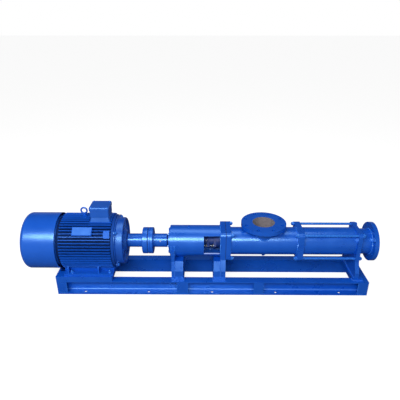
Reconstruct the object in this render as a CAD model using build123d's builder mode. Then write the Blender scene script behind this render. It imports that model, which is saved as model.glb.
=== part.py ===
from build123d import *
import math
import os

# Progressive cavity pump set: channel base, finned motor, pin coupling, bearing housing with
# open gland windows, suction casing, helical rotor in its stator, discharge end plate and neck.
# Millimetres. X runs along the pump axis towards the discharge, Z up, origin on the floor.

# ---- base frame (rolled channel, flanges turned outward) ----
base_length = 1995.0
base_half_width = 156.0
channel_height = 100.0
channel_flange = 48.0
channel_web = 5.3
channel_flange_thick = 8.0
anchor_pitch = 412.0
anchor_hole = 18.0
anchor_line = 132.0
stiffener_thick = 6.0

# ---- motor ----
axis_height = 315.0
motor_seat_thick = 35.0
frame_radius = 178.0
fin_root_radius = 156.0
fin_count = 56
fin_thick = 4.2
frame_bore = 140.0
frame_x0 = -968.0
frame_x1 = -610.5
foot_hole_half = 139.5
foot_thick = 18.0
cowl_radius = 180.0
cowl_x0 = -1185.0
cowl_x1 = -970.0
cowl_wall = 2.5
shield_radius = 175.0
motor_shaft_radius = 24.0
motor_shaft_end = -431.0
terminal_box_length = 124.0
terminal_box_depth = 114.0
terminal_box_x = -702.0
terminal_box_y = -5.0
terminal_lid_top = 260.0
terminal_lid_thick = 25.0

# ---- coupling ----
hub_radius = 43.7
coupling_radius = 85.4
coupling_seam = -402.0
coupling_pad = 5.0
coupling_left = -428.0
coupling_right = -359.0
pump_hub_end = -292.0
buffer_count = 6
buffer_radius = 9.0
buffer_circle = 66.0

# ---- pump shaft, bearing housing ----
shaft_radius = 25.0
housing_radius = 100.5
housing_x0 = -270.0
housing_x1 = 51.0
bearing_bore = 55.0
window_x0 = -55.0
window_top = 70.0
window_bottom = 49.0
flange_half = 98.0
flange_corner = 22.0
bolt_offset = 82.0
plate_x1 = 84.0

# ---- suction casing ----
suction_flange_x = 116.0
suction_end = 574.0
suction_plate_x = 537.0
suction_radius = 89.0
suction_bore = 80.0
port_x = 325.0
port_neck_radius = 78.0
port_bore = 70.0
port_flange_radius = 142.5
port_flange_thick = 25.0
port_top = 135.0
port_bolt_circle = 120.0
port_bolt_hole = 11.0

# ---- pumping element ----
stator_end = 908.0
stator_radius = 88.5
stator_wall = 8.0
rotor_radius = 34.0
eccentricity = 12.0
rotor_pitch = 112.0
rotor_clearance = 0.6
rotor_x0 = 560.0
rotor_x1 = 915.0
rod_radius = 15.0
pin_radius = 6.0
joint_left = 212.0
joint_right = 500.0

# ---- discharge end ----
end_plate_x = 934.0
discharge_neck_radius = 82.0
discharge_bore = 65.0
discharge_flange_x = 1007.0
discharge_end = 1033.0
discharge_flange_radius = 125.0
discharge_bolt_circle = 105.0
discharge_bolt_hole = 9.0
tie_rod_radius = 8.0

# ---- fits ----
running_fit = 0.05
seat_gap = 0.3
seat_top = channel_height + motor_seat_thick


def ring_x(x0, x1, outer, inner=0.0, y=0.0, z=axis_height, mode=Mode.ADD):
    """Round bar or tube parallel to the pump axis."""
    with BuildSketch(Plane.YZ.offset(x0)) as section:
        with Locations((y, z)):
            Circle(outer)
            if inner > 0:
                Circle(inner, mode=Mode.SUBTRACT)
    extrude(section.sketch, amount=x1 - x0, mode=mode)


def ring_z(z0, z1, outer, x, y, inner=0.0, mode=Mode.ADD):
    """Upright round bar or tube."""
    with BuildSketch(Plane.XY.offset(z0)) as section:
        with Locations((x, y)):
            Circle(outer)
            if inner > 0:
                Circle(inner, mode=Mode.SUBTRACT)
    extrude(section.sketch, amount=z1 - z0, mode=mode)


def block(x0, x1, y0, y1, z0, z1, mode=Mode.ADD):
    """Flat bar or plate given by its two opposite corners."""
    with BuildSketch(Plane.XY.offset(z0)) as section:
        with Locations(((x0 + x1) / 2, (y0 + y1) / 2)):
            Rectangle(x1 - x0, y1 - y0)
    extrude(section.sketch, amount=z1 - z0, mode=mode)


def corners(offset, z=axis_height):
    """The four bolt positions of a square flange, as (y, z)."""
    return [(sy * offset, z + sz * offset) for sy in (-1, 1) for sz in (-1, 1)]


def square_plate(x0, x1, half, corner, mode=Mode.ADD):
    """Square flange standing across the pump axis."""
    with BuildSketch(Plane.YZ.offset(x0)) as section:
        with Locations((0, axis_height)):
            RectangleRounded(2 * half, 2 * half, corner)
    extrude(section.sketch, amount=x1 - x0, mode=mode)


def hex_x(x0, x1, across, y, z, mode=Mode.ADD):
    """Hexagon nut or bolt head parallel to the pump axis."""
    with BuildSketch(Plane.YZ.offset(x0)) as section:
        with Locations((y, z)):
            RegularPolygon(across / math.sqrt(3), 6)
    extrude(section.sketch, amount=x1 - x0, mode=mode)


def hex_z(z0, z1, across, x, y):
    """Upright hexagon nut or bolt head."""
    with BuildSketch(Plane.XY.offset(z0)) as section:
        with Locations((x, y)):
            RegularPolygon(across / math.sqrt(3), 6)
    extrude(section.sketch, amount=z1 - z0)


def bolt_circle(radius, count, start=0.0):
    """Points round the pump axis, as (y, z)."""
    return [
        (radius * math.cos(math.radians(start + 360 * k / count)),
         axis_height + radius * math.sin(math.radians(start + 360 * k / count)))
        for k in range(count)
    ]


def save(shape, name):
    shape.label = name
    export_step(shape, "parts/" + name + ".step")


os.makedirs("parts", exist_ok=True)

web_outer = base_half_width - channel_flange
web_inner = web_outer - channel_web
half_length = base_length / 2


def channel_section(side):
    """Channel outline in the YZ plane, web inboard, flanges pointing to one side."""
    with Locations((side * (web_inner + base_half_width) / 2, channel_height / 2)):
        Rectangle(base_half_width - web_inner, channel_height)
    with Locations((side * (web_outer + base_half_width) / 2, channel_height / 2)):
        Rectangle(channel_flange, channel_height - 2 * channel_flange_thick, mode=Mode.SUBTRACT)


# ================= base frame =================
with BuildPart() as base_rail_front:
    with BuildSketch(Plane.YZ.offset(-half_length)) as rail_profile:
        channel_section(-1)
    extrude(amount=base_length)
    for k in range(-2, 3):
        ring_z(-1, channel_flange_thick + 1, anchor_hole / 2, k * anchor_pitch, -anchor_line,
               mode=Mode.SUBTRACT)
save(base_rail_front.part, "base_rail_front")

with BuildPart() as base_rail_rear:
    with BuildSketch(Plane.YZ.offset(-half_length)) as rail_profile_rear:
        channel_section(1)
    extrude(amount=base_length)
    for k in range(-2, 3):
        ring_z(-1, channel_flange_thick + 1, anchor_hole / 2, k * anchor_pitch, anchor_line,
               mode=Mode.SUBTRACT)
save(base_rail_rear.part, "base_rail_rear")


def cross_channel(x_web, side):
    """Channel lying across the base between the rail webs, flanges towards one side."""
    block(*sorted((x_web, x_web + side * (channel_web + channel_flange))),
          -web_inner, web_inner, 0, channel_height)
    block(*sorted((x_web + side * channel_web, x_web + side * (channel_web + channel_flange))),
          -web_inner, web_inner, channel_flange_thick, channel_height - channel_flange_thick,
          mode=Mode.SUBTRACT)


end_web = half_length - channel_flange - channel_web
with BuildPart() as base_end_left:
    cross_channel(-end_web, -1)
save(base_end_left.part, "base_end_left")

with BuildPart() as base_end_right:
    cross_channel(end_web, 1)
save(base_end_right.part, "base_end_right")

with BuildPart() as base_cross_members:
    cross_channel(-255.0, 1)
    cross_channel(18.0, 1)
    cross_channel(-690.0, -1)
save(base_cross_members.part, "base_cross_members")

# Flat plates boxing the rails in at the corners and at two places along each side.
plate_spans = ((-half_length, -936.0), (-226.0, -155.0), (268.0, 329.0), (934.0, half_length))
with BuildPart() as rail_stiffener_plates:
    for side in (-1, 1):
        for x0, x1 in plate_spans:
            y_out = side * (base_half_width - 1.0)
            y_in = side * (base_half_width - 1.0 - stiffener_thick)
            block(x0, x1, min(y_in, y_out), max(y_in, y_out), channel_flange_thick,
                  channel_height - channel_flange_thick)
        for end in (-1, 1):
            x_out = end * half_length
            x_in = end * (half_length - stiffener_thick)
            y_web = side * web_outer
            y_plate = side * (base_half_width - 1.0 - stiffener_thick)
            block(min(x_in, x_out), max(x_in, x_out), min(y_web, y_plate), max(y_web, y_plate),
                  channel_flange_thick, channel_height - channel_flange_thick)
save(rail_stiffener_plates.part, "rail_stiffener_plates")

seat_x0 = -half_length
seat_x1 = -638.0
foot_x = (-895.0, -654.0)
with BuildPart() as motor_seat:
    block(seat_x0, seat_x1, -base_half_width, base_half_width, channel_height, seat_top)
    block(seat_x0 + 14, seat_x1 - 14, -base_half_width + 62, base_half_width - 62,
          channel_height - 1, seat_top + 1, mode=Mode.SUBTRACT)
    for x in foot_x:
        for side in (-1, 1):
            ring_z(channel_height + 6, seat_top + 1, 6.3, x, side * foot_hole_half - side * 10,
                   mode=Mode.SUBTRACT)
    fillet(motor_seat.edges().filter_by(Axis.Z).group_by(Axis.X)[-1], radius=6)
save(motor_seat.part, "motor_seat")

# ================= motor =================
foot_row = foot_hole_half - 10
with BuildPart() as motor_frame:
    ring_x(frame_x0, frame_x1, fin_root_radius)
    with BuildSketch(Plane.YZ.offset(frame_x0 + 22)) as fins:
        with Locations((0, axis_height)):
            with PolarLocations(0, fin_count, start_angle=180 / fin_count):
                with Locations(((fin_root_radius + frame_radius) / 2 - 2, 0)):
                    Rectangle(frame_radius - fin_root_radius + 4, fin_thick)
    extrude(amount=frame_x1 - 17.5 - frame_x0 - 22)
    ring_x(frame_x1 - 16, frame_x1, fin_root_radius + 12)
    # cast feet, each with two upright gussets
    for side in (-1, 1):
        block(-945, -630, min(side * 78, side * 148), max(side * 78, side * 148), seat_top,
              seat_top + foot_thick)
        for x in (-914.0, -723.0):
            with BuildSketch(Plane.YZ.offset(x - 5)) as gusset:
                with BuildLine():
                    Polyline((side * 70, seat_top + 5), (side * 146, seat_top + 5),
                             (side * 143, seat_top + 52), (side * 112, seat_top + 110),
                             (side * 70, seat_top + 60), close=True)
                make_face()
            extrude(amount=10)
        with BuildSketch(Plane.YZ.offset(-945)) as foot_wall:
            with BuildLine():
                Polyline((side * 78, seat_top + 5), (side * 108, seat_top + 5),
                         (side * 112, seat_top + 90), (side * 78, seat_top + 60), close=True)
            make_face()
        extrude(amount=315)
    # pad under the terminal box, pad under the nameplate, eyebolt boss
    block(-770, -634, -68, 58, axis_height + 140, axis_height + 163)
    ring_z(axis_height + 140, axis_height + 184, 17, -810, 0)
    with BuildSketch(Plane(origin=(-803, 0, axis_height), x_dir=(1, 0, 0),
                           z_dir=(0, -math.cos(math.radians(47)), math.sin(math.radians(47))))
                     .offset(150)) as plate_pad:
        Rectangle(122, 56)
    extrude(amount=frame_radius + 0.5 - 150)
    with BuildSketch(Plane(origin=(-651, 0, axis_height), x_dir=(1, 0, 0),
                           z_dir=(0, -math.cos(math.radians(40)), math.sin(math.radians(40))))
                     .offset(150)) as end_pad:
        Rectangle(38, 46)
    extrude(amount=frame_radius + 3 - 150)
    block(-770, -634, -68, 58, axis_height + 163, axis_height + 190, mode=Mode.SUBTRACT)
    # bore right through, then the foot holes, the eyebolt hole and the cable hole
    ring_x(frame_x0 - 1, frame_x1 + 1, frame_bore, mode=Mode.SUBTRACT)
    for x in foot_x:
        for side in (-1, 1):
            ring_z(seat_top - 1, seat_top + foot_thick + 1, 7.0, x, side * foot_row,
                   mode=Mode.SUBTRACT)
    ring_z(axis_height + 158, axis_height + 190, 6.3, -810, 0, mode=Mode.SUBTRACT)
    ring_z(axis_height + 120, axis_height + 170, 18, terminal_box_x, terminal_box_y,
           mode=Mode.SUBTRACT)
    for side in (-1, 1):
        block(-960, -620, -190, 190, seat_top - 30, seat_top, mode=Mode.SUBTRACT)
save(motor_frame.part, "motor_frame")

# stationary core, windings and turning core inside the frame
core_x0 = -880.0
core_x1 = -700.0
core_bore = 92.0
with BuildPart() as motor_stator_core:
    ring_x(core_x0, core_x1, frame_bore - seat_gap, core_bore)
    with BuildSketch(Plane.YZ.offset(core_x0)) as slots:
        with Locations((0, axis_height)):
            with PolarLocations(core_bore + 12, 36):
                Rectangle(20, 8)
    extrude(amount=core_x1 - core_x0, mode=Mode.SUBTRACT)
save(motor_stator_core.part, "motor_stator_core")

with BuildPart() as motor_windings:
    for x0, x1 in ((core_x0 - 36, core_x0 - seat_gap), (core_x1 + seat_gap, core_x1 + 36)):
        ring_x(x0, x1, 128, 100)
    fillet(motor_windings.edges().filter_by(GeomType.CIRCLE), radius=8)
save(motor_windings.part, "motor_windings")

bearing_fan_x = -948.0
bearing_drive_x = -592.0
with BuildPart() as motor_rotor_core:
    ring_x(core_x0 - 6, core_x1 + 6, core_bore - 1.0, 29.0)
    for x0, x1 in ((core_x0 - 22, core_x0 - 6), (core_x1 + 6, core_x1 + 22)):
        ring_x(x0, x1, 84, 60)
        for y, z in bolt_circle(72, 12):
            end = x0 - 12 if x0 < core_x0 - 10 else x1
            ring_x(end, end + 12, 4, y=y, z=z)
save(motor_rotor_core.part, "motor_rotor_core")

with BuildPart() as motor_shaft:
    ring_x(-1120, motor_shaft_end, motor_shaft_radius)
    ring_x(-935, -605, 29.0 - running_fit)
    chamfer(motor_shaft.edges().filter_by(GeomType.CIRCLE).group_by(Axis.X)[-1], length=2)
    block(-520, -440, -7, 7, axis_height + motor_shaft_radius - 5,
          axis_height + motor_shaft_radius + 4, mode=Mode.SUBTRACT)
save(motor_shaft.part, "motor_shaft")


def bearing(x0, x1, outer, inner):
    """Closed ball bearing seen as its two rings with a recessed shield on each side."""
    ring_x(x0, x1, outer, inner)
    mid = (outer + inner) / 2
    width = (outer - inner) * 0.22
    for a, b in ((x0 - 1, x0 + 1.5), (x1 - 1.5, x1 + 1)):
        ring_x(a, b, mid + width, mid - width, mode=Mode.SUBTRACT)


with BuildPart() as motor_bearings:
    for x in (bearing_fan_x, bearing_drive_x):
        bearing(x - 12, x + 12, 50.0, motor_shaft_radius + running_fit)
save(motor_bearings.part, "motor_bearings")

with BuildPart() as drive_end_shield:
    with BuildSketch(Plane.XZ) as shield_profile:
        with BuildLine():
            Polyline((-610, axis_height + 132), (-610, axis_height + shield_radius - 4),
                     (-606, axis_height + shield_radius), (-572, axis_height + shield_radius),
                     (-563, axis_height + 166), (-548, axis_height + 150),
                     (-556, axis_height + 118), (-540, axis_height + 72),
                     (-537, axis_height + 68), (-537, axis_height + 27),
                     (-574, axis_height + 27), (-574, axis_height + 50 + seat_gap),
                     (-606, axis_height + 50 + seat_gap), (-606, axis_height + 62),
                     (-580, axis_height + 66), (-572, axis_height + 120),
                     (-588, axis_height + 132), close=True)
        make_face()
    revolve(axis=Axis((0, 0, axis_height), (1, 0, 0)))
    # ribs across the dished face and the four bolt lugs
    for y, z in bolt_circle(108, 8, 22.5):
        ang = math.degrees(math.atan2(z - axis_height, y))
        with BuildSketch(Plane.YZ.offset(-560)) as rib:
            with Locations((0, axis_height)):
                with Locations(Location((0, 0, 0), ang)):
                    with Locations((103, 0)):
                        Rectangle(72, 7)
        extrude(rib.sketch, amount=12)
    for y, z in bolt_circle(168, 4, 45):
        ring_x(-610, -584, 15, y=y, z=z)
        ring_x(-611, -583, 5.3, y=y, z=z, mode=Mode.SUBTRACT)
        ring_x(-584, -560, 12, y=y, z=z, mode=Mode.SUBTRACT)
save(drive_end_shield.part, "drive_end_shield")

with BuildPart() as fan_end_shield:
    ring_x(frame_x0 - 16, frame_x0, 158, 50 + seat_gap)
    ring_x(frame_x0 - 1, -934, 66, 50 + seat_gap)
    ring_x(frame_x0 - 26, frame_x0 - 15, 80, 27)
save(fan_end_shield.part, "fan_end_shield")

with BuildPart() as shield_bolts:
    for y, z in bolt_circle(168, 4, 45):
        hex_x(-584, -577, 16, y, z)
        ring_x(-606, -583, 5, y=y, z=z)
save(shield_bolts.part, "shield_bolts")

fan_x = -1080.0
with BuildPart() as cooling_fan:
    ring_x(fan_x - 26, fan_x + 30, 36, motor_shaft_radius)
    ring_x(fan_x + 24, fan_x + 30, 128, 34)
    with BuildSketch(Plane.YZ.offset(fan_x - 26)) as blades:
        with Locations((0, axis_height)):
            with PolarLocations(92, 8):
                Rectangle(118, 4)
    extrude(amount=52)
save(cooling_fan.part, "cooling_fan")

with BuildPart() as fan_cowl:
    ring_x(cowl_x0, cowl_x1, cowl_radius)
    fillet(fan_cowl.edges().filter_by(GeomType.CIRCLE).group_by(Axis.X)[0], radius=26)
    ring_x(cowl_x0 + 26, cowl_x1 + 1, cowl_radius - cowl_wall, mode=Mode.SUBTRACT)
    ring_x(cowl_x0 + cowl_wall, cowl_x0 + 28, cowl_radius - 27, mode=Mode.SUBTRACT)
    # air grille: rings of slots in the flat rear face
    for radius, count in ((52, 10), (78, 14), (104, 20), (130, 26)):
        with BuildSketch(Plane.YZ.offset(cowl_x0 - 1)) as slots:
            with Locations((0, axis_height)):
                with PolarLocations(radius, count):
                    Rectangle(14, 16)
        extrude(amount=cowl_wall + 3, mode=Mode.SUBTRACT)
save(fan_cowl.part, "fan_cowl")

with BuildPart() as cowl_screws:
    for k in range(4):
        with BuildSketch(Plane(origin=(frame_x0 - 9, 0, axis_height), x_dir=(1, 0, 0),
                               z_dir=(0, math.cos(math.radians(45 + 90 * k)),
                                      math.sin(math.radians(45 + 90 * k)))).offset(cowl_radius)):
            Circle(5.5)
        extrude(amount=3.2)
save(cowl_screws.part, "cowl_screws")

box_base = axis_height + 163.0
box_top = axis_height + terminal_lid_top - terminal_lid_thick
with BuildPart() as terminal_box:
    with BuildSketch(Plane.XY.offset(box_base)) as box_foot:
        with Locations((terminal_box_x, terminal_box_y)):
            RectangleRounded(terminal_box_length + 4, terminal_box_depth + 4, 10)
    with BuildSketch(Plane.XY.offset(box_base + 30)) as box_waist:
        with Locations((terminal_box_x, terminal_box_y)):
            RectangleRounded(terminal_box_length - 14, terminal_box_depth - 14, 8)
    loft()
    with BuildSketch(Plane.XY.offset(box_base + 30)) as box_body:
        with Locations((terminal_box_x, terminal_box_y)):
            RectangleRounded(terminal_box_length - 6, terminal_box_depth - 6, 8)
    extrude(amount=box_top - box_base - 30)
    with BuildSketch(Plane.XY.offset(box_base + 6)) as box_hollow:
        with Locations((terminal_box_x, terminal_box_y)):
            RectangleRounded(terminal_box_length - 26, terminal_box_depth - 26, 5)
    extrude(amount=box_top - box_base, mode=Mode.SUBTRACT)
    ring_z(box_base - 1, box_base + 8, 18, terminal_box_x, terminal_box_y, mode=Mode.SUBTRACT)
    # threaded cable entry on the far side
    with BuildSketch(Plane.XZ.offset(-(terminal_box_y + terminal_box_depth / 2 - 12))) as entry:
        with Locations((terminal_box_x, box_base + 50)):
            Circle(13)
    extrude(amount=-40, mode=Mode.SUBTRACT)
save(terminal_box.part, "terminal_box")

entry_y = terminal_box_y + terminal_box_depth / 2 - 3
with BuildPart() as cable_gland:
    with BuildSketch(Plane.XZ.offset(-entry_y)) as gland_body:
        with Locations((terminal_box_x, box_base + 50)):
            RegularPolygon(19, 6)
            Circle(9, mode=Mode.SUBTRACT)
    extrude(amount=-12)
    with BuildSketch(Plane.XZ.offset(-entry_y - 12)) as gland_nose:
        with Locations((terminal_box_x, box_base + 50)):
            Circle(15)
            Circle(9, mode=Mode.SUBTRACT)
    extrude(amount=-14)
save(cable_gland.part, "cable_gland")

with BuildPart() as terminal_box_lid:
    with BuildSketch(Plane.XY.offset(box_top + seat_gap)) as lid:
        with Locations((terminal_box_x, terminal_box_y)):
            RectangleRounded(terminal_box_length, terminal_box_depth, 12)
    extrude(amount=terminal_lid_thick - seat_gap)
    fillet(terminal_box_lid.edges().group_by(Axis.Z)[-1], radius=9)
    with BuildSketch(Plane.XY.offset(box_top + seat_gap)) as lid_hollow:
        with Locations((terminal_box_x, terminal_box_y)):
            RectangleRounded(terminal_box_length - 26, terminal_box_depth - 26, 5)
    extrude(amount=terminal_lid_thick - 8, mode=Mode.SUBTRACT)
save(terminal_box_lid.part, "terminal_box_lid")

with BuildPart() as lid_screws:
    for sx in (-1, 1):
        for sy in (-1, 1):
            ring_z(box_top + terminal_lid_thick, box_top + terminal_lid_thick + 2.6, 4.5,
                   terminal_box_x + sx * (terminal_box_length / 2 - 13),
                   terminal_box_y + sy * (terminal_box_depth / 2 - 13))
save(lid_screws.part, "lid_screws")

with BuildPart() as terminal_board:
    block(terminal_box_x - 36, terminal_box_x - 20, terminal_box_y - 34, terminal_box_y + 34,
          box_base + 6, box_base + 12)
    block(terminal_box_x + 20, terminal_box_x + 36, terminal_box_y - 34, terminal_box_y + 34,
          box_base + 6, box_base + 12)
    block(terminal_box_x - 36, terminal_box_x + 36, terminal_box_y - 34, terminal_box_y + 34,
          box_base + 12, box_base + 22)
    for x in (-18, 18):
        for y in (-22, 0, 22):
            ring_z(box_base + 22, box_base + 40, 3, terminal_box_x + x, terminal_box_y + y)
            hex_z(box_base + 22, box_base + 28, 11, terminal_box_x + x, terminal_box_y + y)
save(terminal_board.part, "terminal_board")

eye_z = axis_height + 214.0
with BuildPart() as lifting_eyebolt:
    with BuildSketch(Plane.XY.offset(axis_height + 184)) as collar:
        with Locations((-810, 0)):
            Circle(13)
    extrude(amount=6)
    ring_z(axis_height + 160, axis_height + 185, 6, -810, 0)
    ring_z(axis_height + 188, axis_height + 198, 7, -810, 0)
    with BuildSketch(Plane.XY.offset(eye_z)):
        with Locations((-810 + 18.5, 0)):
            Circle(5.2)
    revolve(axis=Axis((-810, 0, eye_z), (0, 1, 0)))
save(lifting_eyebolt.part, "lifting_eyebolt")

with BuildPart() as nameplate:
    with BuildSketch(Plane(origin=(-803, 0, axis_height), x_dir=(1, 0, 0),
                           z_dir=(0, -math.cos(math.radians(47)), math.sin(math.radians(47))))
                     .offset(frame_radius + 0.5)):
        RectangleRounded(115, 48, 3)
    extrude(amount=1.2)
save(nameplate.part, "nameplate")

with BuildPart() as motor_foot_bolts:
    for x in foot_x:
        for side in (-1, 1):
            top = seat_top + foot_thick
            ring_z(channel_height + 10, top + 16, 6, x, side * foot_row)
            ring_z(top, top + 2.5, 12, x, side * foot_row)
            hex_z(top + 2.5, top + 12.5, 19, x, side * foot_row)
save(motor_foot_bolts.part, "motor_foot_bolts")

# ================= coupling =================
pad_left = coupling_seam - coupling_pad / 2
pad_right = coupling_seam + coupling_pad / 2
with BuildPart() as coupling_hub_motor:
    ring_x(-531, coupling_left + 1, hub_radius)
    ring_x(coupling_left, pad_left - seat_gap, coupling_radius)
    chamfer(coupling_hub_motor.edges().filter_by(GeomType.CIRCLE).group_by(Axis.X)[1], length=3)
    ring_x(-532, pad_left + 1, motor_shaft_radius + running_fit, mode=Mode.SUBTRACT)
    for y, z in bolt_circle(buffer_circle, buffer_count):
        ring_x(pad_left - 15, pad_left + 1, buffer_radius + seat_gap, y=y, z=z,
               mode=Mode.SUBTRACT)
    block(-522, -438, -7, 7, axis_height + motor_shaft_radius - 2,
          axis_height + motor_shaft_radius + 4, mode=Mode.SUBTRACT)
save(coupling_hub_motor.part, "coupling_hub_motor")

with BuildPart() as motor_key:
    block(-520 + seat_gap, -440 - seat_gap, -7 + seat_gap, 7 - seat_gap,
          axis_height + motor_shaft_radius - 5, axis_height + motor_shaft_radius + 3.6)
save(motor_key.part, "motor_key")

with BuildPart() as coupling_buffer:
    ring_x(pad_left, pad_right, coupling_radius - 1.6, 36)
    for y, z in bolt_circle(buffer_circle, buffer_count):
        ring_x(pad_left - 14, pad_right + 14, buffer_radius, y=y, z=z)
save(coupling_buffer.part, "coupling_buffer")

with BuildPart() as coupling_hub_pump:
    ring_x(pad_right + seat_gap, coupling_right, coupling_radius)
    ring_x(coupling_right - 1, pump_hub_end, hub_radius)
    chamfer(coupling_hub_pump.edges().filter_by(GeomType.CIRCLE).group_by(Axis.X)[1:3],
            length=3)
    ring_x(pad_right - 1, pump_hub_end + 1, shaft_radius + running_fit, mode=Mode.SUBTRACT)
    for y, z in bolt_circle(buffer_circle, buffer_count):
        ring_x(pad_right - 1, pad_right + 15, buffer_radius + seat_gap, y=y, z=z,
               mode=Mode.SUBTRACT)
    with BuildSketch(Plane(origin=(-333, 0, axis_height), x_dir=(1, 0, 0),
                           z_dir=(0, -math.cos(math.radians(24)), math.sin(math.radians(24))))
                     .offset(shaft_radius)):
        Circle(6.3)
    extrude(amount=30, mode=Mode.SUBTRACT)
save(coupling_hub_pump.part, "coupling_hub_pump")

with BuildPart() as hub_set_screw:
    with BuildSketch(Plane(origin=(-333, 0, axis_height), x_dir=(1, 0, 0),
                           z_dir=(0, -math.cos(math.radians(24)), math.sin(math.radians(24))))
                     .offset(shaft_radius + 0.3)) as screw:
        Circle(6)
    extrude(amount=hub_radius - shaft_radius + 3)
    with BuildSketch(Plane(origin=(-333, 0, axis_height), x_dir=(1, 0, 0),
                           z_dir=(0, -math.cos(math.radians(24)), math.sin(math.radians(24))))
                     .offset(hub_radius - 3)) as socket:
        RegularPolygon(3.4, 6)
    extrude(amount=8, mode=Mode.SUBTRACT)
save(hub_set_screw.part, "hub_set_screw")

# ================= bearing housing =================
bearing_left = (-252.0, -212.0)
bearing_right = (-120.0, -80.0)
with BuildPart() as bearing_housing:
    ring_x(housing_x0, housing_x1, housing_radius, bearing_bore)
    ring_x(window_x0 - 5, housing_x1 + 1, housing_radius - 9, mode=Mode.SUBTRACT)
    ring_x(-210, -122, bearing_bore + 12, mode=Mode.SUBTRACT)
    # the two open windows that reach the gland, at the front and at the back
    block(window_x0, housing_x1 - 4, -housing_radius - 5, housing_radius + 5,
          axis_height - window_bottom, axis_height + window_top, mode=Mode.SUBTRACT)
    ring_z(axis_height + 60, axis_height + housing_radius + 5, 4, -151, 0, mode=Mode.SUBTRACT)
save(bearing_housing.part, "bearing_housing")

with BuildPart() as pump_bearings:
    for x0, x1 in (bearing_left, bearing_right):
        bearing(x0, x1, bearing_bore - running_fit, shaft_radius + running_fit)
save(pump_bearings.part, "pump_bearings")

with BuildPart() as bearing_spacer:
    ring_x(-210, -122, 32, shaft_radius + running_fit)
save(bearing_spacer.part, "bearing_spacer")

with BuildPart() as bearing_cover:
    ring_x(housing_x0 - 8, housing_x0, 84, shaft_radius + 2)
    ring_x(housing_x0 - 1, bearing_left[0] - seat_gap, bearing_bore - seat_gap, 38)
    ring_x(housing_x0 - 16, housing_x0 - 7, 36, shaft_radius + 2)
    for y, z in bolt_circle(72, 6):
        ring_x(housing_x0 - 10, housing_x0 + 1, 4.3, y=y, z=z, mode=Mode.SUBTRACT)
save(bearing_cover.part, "bearing_cover")

with BuildPart() as cover_bolts:
    for y, z in bolt_circle(72, 6):
        hex_x(housing_x0 - 14, housing_x0 - 8, 13, y, z)
        ring_x(housing_x0 - 8.5, housing_x0 - 0.5, 4, y=y, z=z)
save(cover_bolts.part, "cover_bolts")

with BuildPart() as oil_seal:
    ring_x(-76, -62, bearing_bore - seat_gap, shaft_radius + running_fit)
    ring_x(-70, -61, bearing_bore - 8, shaft_radius + 6, mode=Mode.SUBTRACT)
save(oil_seal.part, "oil_seal")

with BuildPart() as grease_cup:
    hex_z(axis_height + housing_radius, axis_height + housing_radius + 5, 14, -151, 0)
    ring_z(axis_height + housing_radius - 8, axis_height + housing_radius + 1, 3.7, -151, 0)
    ring_z(axis_height + housing_radius + 5, axis_height + housing_radius + 10, 5, -151, 0)
save(grease_cup.part, "grease_cup")

def pedestal_foot(x0, x1):
    """Foot plate welded across both rails under a pedestal."""
    block(x0, x1, -136, 136, channel_height, channel_height + 14)


def cheek(x0, x1):
    """Tapered side plates of a pedestal, wide below and drawn in under the tube."""
    for side in (-1, 1):
        with BuildSketch(Plane.YZ.offset(x0)) as side_plate:
            with BuildLine():
                Polyline((side * 118, channel_height + 14), (side * 130, channel_height + 14),
                         (side * 130, 162), (side * 101, 219), (side * 89, 219),
                         (side * 118, 160), close=True)
            make_face()
        extrude(side_plate.sketch, amount=x1 - x0)


with BuildPart() as pedestal_left:
    pedestal_foot(-261, -180)
    with BuildSketch(Plane.YZ.offset(-261)) as left_web:
        with BuildLine():
            Polyline((-130, channel_height + 10), (130, channel_height + 10), (130, 162),
                     (108, 219), (108, axis_height - 20), (-108, axis_height - 20),
                     (-108, 219), (-130, 162), close=True)
        make_face()
    extrude(amount=21)
    cheek(-241, -186)
    with BuildSketch(Plane.YZ.offset(-241)) as left_saddle:
        with BuildLine():
            Polyline((-101, 207), (101, 207), (101, 219), (-101, 219), close=True)
        make_face()
    extrude(amount=55)
    ring_x(-262, -185, housing_radius, mode=Mode.SUBTRACT)
save(pedestal_left.part, "pedestal_left")

with BuildPart() as pedestal_right:
    pedestal_foot(4, plate_x1)
    square_plate(housing_x1, plate_x1, flange_half, flange_corner)
    with BuildSketch(Plane.YZ.offset(housing_x1)) as right_web:
        with BuildLine():
            Polyline((-130, channel_height + 10), (130, channel_height + 10), (130, 162),
                     (flange_half, 226), (flange_half, 300), (-flange_half, 300),
                     (-flange_half, 226), (-130, 162), close=True)
        make_face()
    extrude(amount=plate_x1 - housing_x1)
    cheek(8, housing_x1 + 1)
    with BuildSketch(Plane.YZ.offset(8)) as right_saddle:
        with BuildLine():
            Polyline((-101, 207), (101, 207), (101, 219), (-101, 219), close=True)
        make_face()
    extrude(amount=housing_x1 - 7)
    ring_x(0, housing_x1, housing_radius, mode=Mode.SUBTRACT)
    ring_x(housing_x1 - 1, plate_x1 + 1, 66, mode=Mode.SUBTRACT)
    for y, z in corners(bolt_offset):
        ring_x(housing_x1 - 1, plate_x1 + 1, 8.3, y=y, z=z, mode=Mode.SUBTRACT)
save(pedestal_right.part, "pedestal_right")

# ================= shaft seal =================
box_bore = 38.0
with BuildPart() as stuffing_box:
    ring_x(22, plate_x1, 52, box_bore)
    ring_x(plate_x1 - 12, plate_x1, 66 - seat_gap, box_bore)
    ring_x(plate_x1 - 1, 138, 47, box_bore)
    ring_x(130, 138, 47, shaft_radius + 2)
    for z in (-45, 45):
        ring_x(21, 40, 5.3, y=0, z=axis_height + z, mode=Mode.SUBTRACT)
save(stuffing_box.part, "stuffing_box")

with BuildPart() as packing_rings:
    for k in range(6):
        ring_x(68 + k * 10, 68 + k * 10 + 9.4, box_bore - 0.2, shaft_radius + running_fit)
save(packing_rings.part, "packing_rings")

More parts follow.
